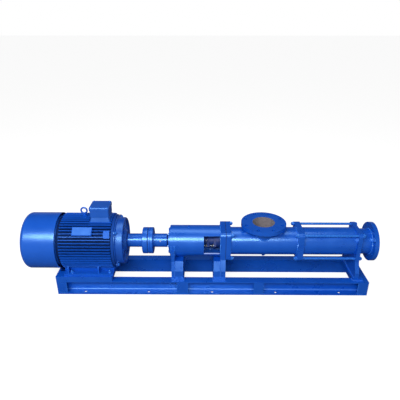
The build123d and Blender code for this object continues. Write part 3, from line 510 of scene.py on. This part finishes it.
# Gasket between the two square plates, a dark line round the joint.
GASKET_HALF = 98.4 * MM
GASKET_CORNER = 22.4 * MM
GASKET_BORE = 67 * MM
GASKET_THICK = 2.4 * MM
CORNER_STEPS = 6
outline = []
for quarter, (side_y, side_z) in enumerate(((1, 1), (-1, 1), (-1, -1), (1, -1))):
    for step in range(CORNER_STEPS + 1):
        turn = math.radians(90 * quarter + 90 / CORNER_STEPS * step)
        y, z = on_ring(GASKET_CORNER, turn)
        outline.append((side_y * (GASKET_HALF - GASKET_CORNER) + y,
                        side_z * (GASKET_HALF - GASKET_CORNER) + z))
bore = [on_ring(GASKET_BORE, math.atan2(z - AXIS_HEIGHT, y)) for y, z in outline]
near_side = FLANGE_JOINT - GASKET_THICK / 2
far_side = near_side + GASKET_THICK
gasket = bmesh.new()
skin(gasket, [[gasket.verts.new((x, y, z)) for y, z in ring]
              for ring, x in ((outline, near_side), (outline, far_side),
                              (bore, far_side), (bore, near_side))], closed=True)
piece("flange_gasket", gasket, nitrile)

# ---------------------------------------------------------------- shaft seal in the window
GLAND_LEFT = HOUSING_END - 86 * MM
GLAND_THICK = 16 * MM
GLAND_BOSS = 41 * MM
GLAND_SNOUT = 37 * MM
GLAND_END_RADIUS = 15 * MM
GLAND_BOLT_Y = 48 * MM
GLAND_BOLT_DROP = 10 * MM
GLAND_BOLT_Z = AXIS_HEIGHT - GLAND_BOLT_DROP
BOX_LEFT = GLAND_LEFT + 43 * MM
BOX_FLANGE = 15 * MM
BOX_RADIUS = 50 * MM
BOX_BORE = 38 * MM
BOX_END_RADIUS = 16 * MM
BOX_TAIL = 20 * MM
SHAFT_CLEAR = 27 * MM
SEAL_EDGE = 1 * MM
OVAL_SIDES = 48
SNOUT_SIDES = 48
BOX_SIDES = 64


def oval(x, end_radius, middle_radius):
    """Two-bolt flange outline: round middle drawn out to a rounded end at each bolt."""
    points = []
    for k in range(OVAL_SIDES):
        turn = 2 * math.pi * k / OVAL_SIDES
        y, z = math.cos(turn), math.sin(turn)
        stretch = abs(y) ** 3
        points.append((x,
                       y * (middle_radius + stretch * (GLAND_BOLT_Y + end_radius - middle_radius)),
                       AXIS_HEIGHT - GLAND_BOLT_DROP * abs(y)
                       + z * (middle_radius - stretch * (middle_radius - end_radius))))
    return points


# The gland and stuffing box take the dark enamel that paints the window's shade.
seal = bmesh.new()
add_extruded(seal, oval(GLAND_LEFT, GLAND_END_RADIUS, GLAND_BOSS), (GLAND_THICK, 0, 0))
add_turned(seal, rounded(GLAND_LEFT + GLAND_THICK - OVERLAP, BOX_LEFT + OVERLAP,
                         GLAND_SNOUT, SHAFT_CLEAR, SEAL_EDGE), SNOUT_SIDES)
add_extruded(seal, oval(BOX_LEFT, BOX_END_RADIUS, BOX_RADIUS), (BOX_FLANGE, 0, 0))
add_turned(seal, rounded(BOX_LEFT + BOX_FLANGE - OVERLAP, HOUSING_END + BOX_TAIL,
                         BOX_RADIUS, BOX_BORE, SEAL_EDGE), BOX_SIDES)
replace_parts(piece("gland_and_stuffing_box", seal, gland_shade_enamel), "gland_follower", "stuffing_box")

GLAND_WASHER = 10.5 * MM
GLAND_WASHER_THICK = 1.8 * MM
GLAND_NUT_ACROSS = 17 * MM
GLAND_NUT_HEIGHT = 9 * MM
GLAND_STUD_RADIUS = 5 * MM
GLAND_STUD_LENGTH = 73 * MM
GLAND_STUD_SUNK = 12 * MM
GLAND_STUD_PITCH = 1.5 * MM
gland = bmesh.new()
for y in (-GLAND_BOLT_Y, GLAND_BOLT_Y):
    for x in (GLAND_LEFT, BOX_LEFT):
        add_washer(gland, (x, y, GLAND_BOLT_Z), LEFT, GLAND_WASHER, GLAND_WASHER_THICK)
        add_hexagon(gland, (x - GLAND_WASHER_THICK, y, GLAND_BOLT_Z), LEFT,
                    GLAND_NUT_ACROSS, GLAND_NUT_HEIGHT)
    add_rod(gland, (BOX_LEFT + GLAND_STUD_SUNK, y, GLAND_BOLT_Z), LEFT,
            GLAND_STUD_RADIUS, GLAND_STUD_LENGTH, GLAND_STUD_PITCH)
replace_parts(piece("gland_studs_threaded", gland, zinc), "gland_studs")

# Rounded lip that stiffens the lower edge of each window, in the pale enamel of its painted
# highlight.
LIP_START = HOUSING_END - 105 * MM
LIP_LENGTH = 100 * MM
LIP_OUT = 83.5 * MM
LIP_LEVEL = AXIS_HEIGHT - 48.5 * MM
LIP_RADIUS = 4.2 * MM
LIP_SIDES = 16
lip = bmesh.new()
for y in (-LIP_OUT, LIP_OUT):
    add_rod(lip, (LIP_START, y, LIP_LEVEL), RIGHT, LIP_RADIUS, LIP_LENGTH, sides=LIP_SIDES)
piece("window_lips", lip, lip_highlight_enamel)

# ---------------------------------------------------------------- coupling
HUB_RADIUS = 43.7 * MM
HUB_CHAMFER = 2 * MM
DISC_RADIUS = high("coupling_hub_pump").y
DISC_EDGE = 3 * MM
MOTOR_HUB_LEFT = low("coupling_hub_motor").x - 14 * MM
PUMP_HUB_RIGHT = high("coupling_hub_pump").x
COUPLING_RIGHT = PUMP_HUB_RIGHT - 88 * MM
COUPLING_SEAM = COUPLING_RIGHT - 32 * MM
COUPLING_LEFT = COUPLING_SEAM - 35 * MM
SEAM_GAP = 2.5 * MM
SEAM_LEFT = COUPLING_SEAM - SEAM_GAP / 2
SEAM_RIGHT = COUPLING_SEAM + SEAM_GAP / 2
SHAFT_BORE = 25.3 * MM
motor_half = bmesh.new()
add_turned(motor_half, [(MOTOR_HUB_LEFT, SHAFT_BORE), (MOTOR_HUB_LEFT, HUB_RADIUS - HUB_CHAMFER),
                        (MOTOR_HUB_LEFT + HUB_CHAMFER, HUB_RADIUS), (COUPLING_LEFT, HUB_RADIUS)]
           + rounded(COUPLING_LEFT, SEAM_LEFT, DISC_RADIUS, SHAFT_BORE, DISC_EDGE)[1:])
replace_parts(piece("coupling_half_motor", motor_half, enamel_steel, "driveline"),
            "coupling_hub_motor")

# A fine V groove runs round the rim of the pump half.
GROOVE = COUPLING_SEAM + 14 * MM
GROOVE_HALF = 1 * MM
GROOVE_DEPTH = 1.6 * MM
LEFT_EDGE_POINTS = 2 + ROUNDING_STEPS
rim = rounded(SEAM_RIGHT, COUPLING_RIGHT, DISC_RADIUS, SHAFT_BORE, DISC_EDGE)[:-1]
pump_half = bmesh.new()
add_turned(pump_half, rim[:LEFT_EDGE_POINTS]
           + [(GROOVE - GROOVE_HALF, DISC_RADIUS), (GROOVE, DISC_RADIUS - GROOVE_DEPTH),
              (GROOVE + GROOVE_HALF, DISC_RADIUS)]
           + rim[LEFT_EDGE_POINTS:]
           + [(COUPLING_RIGHT, HUB_RADIUS), (PUMP_HUB_RIGHT - HUB_CHAMFER, HUB_RADIUS),
              (PUMP_HUB_RIGHT, HUB_RADIUS - HUB_CHAMFER), (PUMP_HUB_RIGHT, SHAFT_BORE)])
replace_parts(piece("coupling_half_pump", pump_half, enamel_steel, "driveline"), "coupling_hub_pump")

COVER_NOSE = low("bearing_cover").x
SLINGER_RADIUS = 34 * MM
SLINGER_GAP = 1.2 * MM
SLEEVE_START = HOUSING_END - 110 * MM
SLEEVE_RADIUS = 30 * MM
SLEEVE_GAP = 1 * MM
COLLAR_EDGE = 0.8 * MM
PAD_RADIUS = DISC_RADIUS - 4 * MM
PAD_BORE = SHAFT_BORE + 8 * MM
PAD_EDGE = 0.5 * MM
# The slinger and the sleeve take the same dark enamel, painted as the shade they sit in.
slinger = bmesh.new()
add_turned(slinger, rounded(PUMP_HUB_RIGHT - OVERLAP, COVER_NOSE - SLINGER_GAP,
                            SLINGER_RADIUS, SHAFT_BORE, COLLAR_EDGE))
piece("shaft_slinger", slinger, gland_shade_enamel, "driveline")
sleeve = bmesh.new()
add_turned(sleeve, rounded(SLEEVE_START, GLAND_LEFT - SLEEVE_GAP,
                           SLEEVE_RADIUS, SHAFT_BORE, COLLAR_EDGE))
piece("shaft_sleeve", sleeve, gland_shade_enamel, "driveline")
pad = bmesh.new()
add_turned(pad, rounded(SEAM_LEFT, SEAM_RIGHT, PAD_RADIUS, PAD_BORE, PAD_EDGE))
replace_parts(piece("coupling_pad", pad, nitrile, "driveline"), "coupling_buffer")

# ---------------------------------------------------------------- motor drive end
MOTOR_FACE = low("drive_end_shield").x
SHIELD_FACE = MOTOR_FACE + 52 * MM
# Section of the casting as (x, radius) in mm. The rim is measured from the motor's face, and the
# drum's edge, the dished web and the bearing boss from the front face of the shield.
RIM_SECTION = ((0, 90), (0, 161), (2, 163), (5, 163), (8, 159), (9, 152), (12, 150))
WEB_SECTION = ((-8, 150), (-3, 148), (0, 143), (-1, 132), (-9, 124), (-9, 76), (4, 66), (10, 62),
               (10, 30), (-6, 30), (-16, 60), (-18, 120))
RIBS = 8
RIB_HALF = 3.5 * MM
RIB_INNER = 66 * MM
RIB_OUTER = 127 * MM
RIB_START = SHIELD_FACE - 10 * MM
RIB_DEPTH = 7 * MM
LUG_CIRCLE = 160 * MM
LUG_RADIUS = 15 * MM
LUG_THICK = 10 * MM
LUGS = [on_ring(LUG_CIRCLE, math.radians(45 + 90 * k)) for k in range(4)]
shield = bmesh.new()
add_turned(shield, [(face + x * MM, radius * MM)
                    for face, section in ((MOTOR_FACE, RIM_SECTION), (SHIELD_FACE, WEB_SECTION))
                    for x, radius in section])
hub = Vector((RIB_START, 0, AXIS_HEIGHT))
for k in range(RIBS):
    turn = math.radians(360 / RIBS * (k + 0.5))
    outward = Vector((0, math.cos(turn), math.sin(turn)))
    aside = Vector((0, -math.sin(turn), math.cos(turn))) * RIB_HALF
    inner = hub + outward * RIB_INNER
    outer = hub + outward * RIB_OUTER
    add_extruded(shield, [inner - aside, outer - aside, outer + aside, inner + aside],
                 (RIB_DEPTH, 0, 0))
for y, z in LUGS:
    add_washer(shield, (MOTOR_FACE, y, z), RIGHT, LUG_RADIUS, LUG_THICK)
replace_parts(piece("drive_end_shield_cast", shield, enamel_cast), "drive_end_shield")

LUG_WASHER = 10 * MM
LUG_WASHER_THICK = 1.6 * MM
LUG_SCREW_ACROSS = 16 * MM
LUG_SCREW_HEAD = 6.5 * MM
shield_screws = bmesh.new()
for y, z in LUGS:
    seat = MOTOR_FACE + LUG_THICK
    add_washer(shield_screws, (seat, y, z), RIGHT, LUG_WASHER, LUG_WASHER_THICK)
    add_hexagon(shield_screws, (seat + LUG_WASHER_THICK, y, z), RIGHT,
                LUG_SCREW_ACROSS, LUG_SCREW_HEAD)
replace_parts(piece("shield_bolts_detailed", shield_screws, bead_highlight_enamel), "shield_bolts")

# ---------------------------------------------------------------- welds
DISCHARGE_BACK = high("discharge_neck").x - 26 * MM
PIPE_BEAD = 3.2 * MM
CASING_BEAD = 3.4 * MM
BEAD_LIFT = 1 * MM
HOUSING_BEAD_LIFT = 0.5 * MM
beads = bmesh.new()
for x, radius, size in ((HOUSING_END, HOUSING_RADIUS + HOUSING_BEAD_LIFT, PIPE_BEAD),
                        (SUCTION_SEAT, SUCTION_RADIUS + BEAD_LIFT, CASING_BEAD),
                        (PLATE_SEAT, SUCTION_RADIUS + BEAD_LIFT, CASING_BEAD),
                        (END_SEAT, NECK_RADIUS + BEAD_LIFT, PIPE_BEAD),
                        (DISCHARGE_BACK, NECK_RADIUS + BEAD_LIFT, PIPE_BEAD)):
    add_weld(beads, ring_points(x, radius), size, closed=True)

# The left leg cradles the housing from below, so its beads stop just over the axis on each side.
LEFT_LEG = low("pedestal_left").x
LEFT_LEG_BACK = LEFT_LEG + 21 * MM
CRADLE_START, CRADLE_STOP = 172, 368
for x in (LEFT_LEG, LEFT_LEG_BACK):
    add_weld(beads, ring_points(x, HOUSING_RADIUS + BEAD_LIFT, CRADLE_START, CRADLE_STOP),
             PIPE_BEAD)

# Where the port's neck meets the casing, the bead follows the saddle line of the two tubes.
PORT_NECK = 78 * MM
SADDLE_NECK = PORT_NECK + 0.4 * MM
SADDLE_CASING = SUCTION_RADIUS + 0.6 * MM
SADDLE_PARTS = 144
SADDLE_BEAD = 3.0 * MM
SKIRT_LEVEL = high("suction_casing").z - 25 * MM
SKIRT_PARTS = 96
saddle = []
for x, y, _ in circle(SADDLE_NECK, 0, SADDLE_PARTS):
    saddle.append((PORT_X + x, y, AXIS_HEIGHT + math.sqrt(SADDLE_CASING ** 2 - y * y)))
add_weld(beads, saddle, SADDLE_BEAD, closed=True)
add_weld(beads, [(PORT_X + x, y, z) for x, y, z in circle(PORT_NECK, SKIRT_LEVEL, SKIRT_PARTS)],
         PIPE_BEAD, closed=True)
piece("pump_welds", beads, bead_highlight_enamel)

# Round the foot plates, across the foot of each leg, and up the edges of the legs.
PLATE_HALF = high("pedestal_left").y
PLATE_BEAD = 3 * MM
PLATE_BEAD_LEVEL = BASE_TOP + 0.5 * MM
PLATE_BEAD_START = WEB_FACE + 4 * MM
PLATE_BEAD_STOP = PLATE_HALF - 1 * MM
LEG_BEAD = 2.8 * MM
LEG_BEAD_LEVEL = FOOT_PLATE_TOP + 0.4 * MM
LEG_BEAD_HALF = 128 * MM
END_PLATE_THICK = 26 * MM
EDGE_BEAD = 2.6 * MM
LEG_HALF = 129.5 * MM
LEG_SHOULDER = 162 * MM
LEG_NARROW_HALF = 101 * MM
LEG_NARROW = 218 * MM
foot_beads = bmesh.new()
for node in ("pedestal_left", "pedestal_right", "discharge_end_plate"):
    ends = (low(node).x, high(node).x)
    for side in (-1, 1):
        add_weld(foot_beads, [(x, side * PLATE_HALF, PLATE_BEAD_LEVEL) for x in ends], PLATE_BEAD)
        for x in ends:
            add_weld(foot_beads, [(x, side * PLATE_BEAD_START, PLATE_BEAD_LEVEL),
                                  (x, side * PLATE_BEAD_STOP, PLATE_BEAD_LEVEL)], PLATE_BEAD)
for x in (LEFT_LEG_BACK, HOUSING_END, END_SEAT - END_PLATE_THICK, END_SEAT):
    add_weld(foot_beads, [(x, -LEG_BEAD_HALF, LEG_BEAD_LEVEL), (x, LEG_BEAD_HALF, LEG_BEAD_LEVEL)],
             LEG_BEAD)
for side in (-1, 1):
    for x in (LEFT_LEG_BACK, HOUSING_END):
        add_weld(foot_beads, [(x, side * LEG_HALF, FOOT_PLATE_TOP + 2 * MM),
                              (x, side * LEG_HALF, LEG_SHOULDER),
                              (x, side * LEG_NARROW_HALF, LEG_NARROW)], EDGE_BEAD)
# The foot welds take the paler enamel as a painted highlight.
piece("foot_welds", foot_beads, plate_and_highlight_enamel)

# Beads up the edges of the boxing plates, and the rolled root of each channel.
PLATE_SPANS = ((-BASE_END, -936 * MM), (-226 * MM, -155 * MM), (268 * MM, 329 * MM),
               (934 * MM, BASE_END))
PLATE_FACE = BASE_HALF - 1 * MM
UPRIGHT_FACE = PLATE_FACE - 1.6 * MM
LEVEL_FACE = PLATE_FACE - 1.4 * MM
FLANGE_THICK = 8 * MM
BASE_BEAD = 1.8 * MM
UPRIGHT_LOW = FLANGE_THICK + 1 * MM
UPRIGHT_HIGH = BASE_TOP - FLANGE_THICK - 1 * MM
LEVEL_HEIGHT = FLANGE_THICK + 0.4 * MM
LEVEL_INSET = 2 * MM
base_beads = bmesh.new()
for side in (-1, 1):
    for x0, x1 in PLATE_SPANS:
        for x in (x0, x1):
            if abs(x) < BASE_END:
                add_weld(base_beads, [(x, side * UPRIGHT_FACE, UPRIGHT_LOW),
                                      (x, side * UPRIGHT_FACE, UPRIGHT_HIGH)], BASE_BEAD)
        add_weld(base_beads, [(x0 + LEVEL_INSET, side * LEVEL_FACE, LEVEL_HEIGHT),
                              (x1 - LEVEL_INSET, side * LEVEL_FACE, LEVEL_HEIGHT)], BASE_BEAD)
piece("base_welds", base_beads, bead_highlight_enamel)

ROOT_RADIUS = 9 * MM
ROOT_STEPS = 8
RAIL_END = high("base_rail_front").x - 7 * MM
roots = bmesh.new()
for side in (-1, 1):
    for level, up in ((FLANGE_THICK, 1), (BASE_TOP - FLANGE_THICK, -1)):
        corner = Vector((-RAIL_END, side * WEB_FACE, level))
        outline = [corner]
        for step in range(ROOT_STEPS + 1):
            turn = math.radians(90 * step / ROOT_STEPS)
            outline.append(corner + Vector((0, side * ROOT_RADIUS * (1 - math.cos(turn)),
                                            up * ROOT_RADIUS * (1 - math.sin(turn)))))
        add_extruded(roots, outline, (2 * RAIL_END, 0, 0))
# The roots are in the paler enamel, a painted highlight along each channel.
piece("rolled_channel_roots", roots, plate_and_highlight_enamel)

# ---------------------------------------------------------------- motor fasteners
FOOT_BOLT_Y = 129.5 * MM
FOOT_TOP = 153 * MM
FOOT_BOLT_INSET = 12 * MM
FOOT_BOLT_RADIUS = 6 * MM
FOOT_BOLT_LOW = 110 * MM
FOOT_BOLT_LENGTH = 50 * MM
feet = bmesh.new()
for x in (low("motor_foot_bolts").x + FOOT_BOLT_INSET,
          high("motor_foot_bolts").x - FOOT_BOLT_INSET):
    for y in (-FOOT_BOLT_Y, FOOT_BOLT_Y):
        add_nut(feet, (x, y, FOOT_TOP), UP, across=19 * MM, height=9 * MM, washer=12 * MM,
                stud=FOOT_BOLT_RADIUS, tip=4 * MM)
        add_rod(feet, (x, y, FOOT_BOLT_LOW), UP, FOOT_BOLT_RADIUS, FOOT_BOLT_LENGTH)
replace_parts(piece("motor_foot_bolts_detailed", feet, bead_highlight_enamel), "motor_foot_bolts")

# Cheese-head screws with a round socket, as (radius, height) in mm.
SCREW_SECTION = ((4.6, 0), (4.6, 1.6), (3.9, 2.6), (2.4, 2.6), (2.2, 0.9))
SCREW_SIDES = 24
SCREW_INSET = 13 * MM
LID_LOW, LID_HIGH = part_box("terminal_box_lid")
screws = bmesh.new()
for x in (LID_LOW.x + SCREW_INSET, LID_HIGH.x - SCREW_INSET):
    for y in (LID_LOW.y + SCREW_INSET, LID_HIGH.y - SCREW_INSET):
        stack_rings(screws, [circle(radius * MM, level * MM, SCREW_SIDES)
                             for radius, level in SCREW_SECTION], along(UP, (x, y, LID_HIGH.z)))
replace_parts(piece("lid_screws_detailed", screws, bead_highlight_enamel), "lid_screws")

# ---------------------------------------------------------------- floor, light and camera
FLOOR_HALF = 30
SPECKLE_MM = 400
FLOOR_WHITE = 0.84
FLOOR_MIRROR = 0.3
FLOOR_SHADED = 1.2
FLOOR_OPEN = 3.0
floor_mesh = bpy.data.meshes.new("studio_floor")
floor_mesh.from_pydata([(x * FLOOR_HALF, y * FLOOR_HALF, 0)
                        for x, y in ((-1, -1), (1, -1), (1, 1), (-1, 1))], [], [(0, 1, 2, 3)])
floor = bpy.data.objects.new("studio_floor", floor_mesh)
bpy.context.scene.collection.objects.link(floor)
# Plain white floor: it takes the unit's soft shadow and reads white elsewhere.
floor_material = bpy.data.materials.new("white_studio_floor")
floor_material.use_nodes = True
floor_tree = floor_material.node_tree
floor_surface = floor_tree.nodes["Principled BSDF"]
floor_surface.inputs["Roughness"].default_value = 0.9
speckle = add(floor_tree, "ShaderNodeTexNoise", {"Scale": per_metre(SPECKLE_MM)})
pale = add(floor_tree, "ShaderNodeMix",
           {"Factor": speckle.outputs["Fac"], "A": paint_colour("#A4A4A4"),
            "B": paint_colour("#A8A8A8")}, data_type="RGBA")
floor_rays = add(floor_tree, "ShaderNodeLightPath")
floor_place = add(floor_tree, "ShaderNodeTexCoord").outputs["Object"]
floor_reach = add(floor_tree, "ShaderNodeVectorMath", {0: floor_place}, operation="LENGTH")
# Reflections show the floor grey from 3 m out; nearer, its glow fades out as painted shade of the
# unit.
floor_far = add(floor_tree, "ShaderNodeMapRange",
                {"Value": floor_reach.outputs["Value"], "From Min": FLOOR_SHADED,
                 "From Max": FLOOR_OPEN})
floor_dim = add(floor_tree, "ShaderNodeMath",
                {0: floor_rays.outputs["Is Glossy Ray"], 1: FLOOR_MIRROR}, operation="MULTIPLY")
floor_mirror = add(floor_tree, "ShaderNodeMath",
                   {0: floor_dim.outputs[0], 1: floor_far.outputs["Result"]},
                   operation="MULTIPLY")
floor_seen = add(floor_tree, "ShaderNodeMath",
                 {0: floor_rays.outputs["Is Camera Ray"], 1: floor_mirror.outputs[0]},
                 operation="MAXIMUM")
floor_glow = add(floor_tree, "ShaderNodeMath", {0: floor_seen.outputs[0], 1: FLOOR_WHITE},
                 operation="MULTIPLY")
floor_surface.inputs["Emission Color"].default_value = (1, 1, 1, 1)
floor_tree.links.new(floor_glow.outputs[0], floor_surface.inputs["Emission Strength"])
floor_shade = add(floor_tree, "ShaderNodeMix",
                  {"Factor": floor_rays.outputs["Is Glossy Ray"], "A": pale.outputs["Result"],
                   "B": paint_colour("#484848")}, data_type="RGBA")
floor_tree.links.new(floor_shade.outputs["Result"], floor_surface.inputs["Base Color"])
floor_mesh.materials.append(floor_material)

# The slope of a reflected ray at the backdrop's top edge and where the ceiling is fully dark.
BACKDROP_TOP = 0.2
CEILING_DARK = 0.36
BACKDROP_STRENGTH = 0.3
CEILING_STRENGTH = 0.03
FILL_STRENGTH = 0.3
world = bpy.data.worlds.new("studio")
bpy.context.scene.world = world
world.use_nodes = True
sky = world.node_tree
sky.nodes.clear()
rays = add(sky, "ShaderNodeLightPath")
reflected = add(sky, "ShaderNodeMath",
                {0: rays.outputs["Is Glossy Ray"], 1: rays.outputs["Is Transmission Ray"]},
                operation="MAXIMUM")
heading = add(sky, "ShaderNodeSeparateXYZ",
              {"Vector": add(sky, "ShaderNodeTexCoord").outputs["Generated"]})
# Reflections show a grey backdrop up to 12 degrees over the horizon, then a dark ceiling.
ceiling = add(sky, "ShaderNodeMapRange",
              {"Value": heading.outputs["Z"], "From Min": BACKDROP_TOP, "From Max": CEILING_DARK,
               "To Min": BACKDROP_STRENGTH, "To Max": CEILING_STRENGTH})
mirrored = add(sky, "ShaderNodeMath", {0: reflected.outputs[0], 1: ceiling.outputs[0]},
               operation="MULTIPLY")
lit = add(sky, "ShaderNodeMath", {0: 1.0, 1: reflected.outputs[0]}, operation="SUBTRACT")
fill = add(sky, "ShaderNodeMath", {0: lit.outputs[0], 1: FILL_STRENGTH}, operation="MULTIPLY")
unseen = add(sky, "ShaderNodeMath", {0: fill.outputs[0], 1: mirrored.outputs[0]}, operation="ADD")
strength = add(sky, "ShaderNodeMath",
               {0: rays.outputs["Is Camera Ray"], 1: unseen.outputs[0]}, operation="MAXIMUM")
backdrop = add(sky, "ShaderNodeBackground",
               {"Color": (1, 1, 1, 1), "Strength": strength.outputs[0]})
add(sky, "ShaderNodeOutputWorld", {"Surface": backdrop.outputs[0]})


def soft_box(name, place, target, width, height, watts):
    """Rectangular studio lamp aimed at a point, in metres."""
    lamp = bpy.data.lights.new(name, "AREA")
    lamp.shape = "RECTANGLE"
    lamp.size = width
    lamp.size_y = height
    lamp.energy = watts
    holder = bpy.data.objects.new(name, lamp)
    bpy.context.scene.collection.objects.link(holder)
    holder.location = place
    holder.rotation_euler = (Vector(target) - Vector(place)).to_track_quat("-Z", "Y").to_euler()


soft_box("key_light", (-0.8, -2.8, 2.55), (-0.1, 0, 0.3), 3.4, 0.9, 135)
soft_box("top_light", (0.2, 0.4, 3.6), (0, 0, 0.3), 2.6, 1.4, 22)

CAMERA_DOWN = 24.61
CAMERA_TURN = 0.437
camera_data = bpy.data.cameras.new("camera")
camera_data.lens = 37.3
camera_data.sensor_width = 36
camera = bpy.data.objects.new("camera", camera_data)
bpy.context.scene.collection.objects.link(camera)
camera.location = (-0.0618, -2.340, 1.675)
camera.rotation_euler = (math.radians(90 - CAMERA_DOWN), 0, math.radians(CAMERA_TURN))
bpy.context.scene.camera = camera
bpy.context.scene.view_settings.view_transform = "Standard"
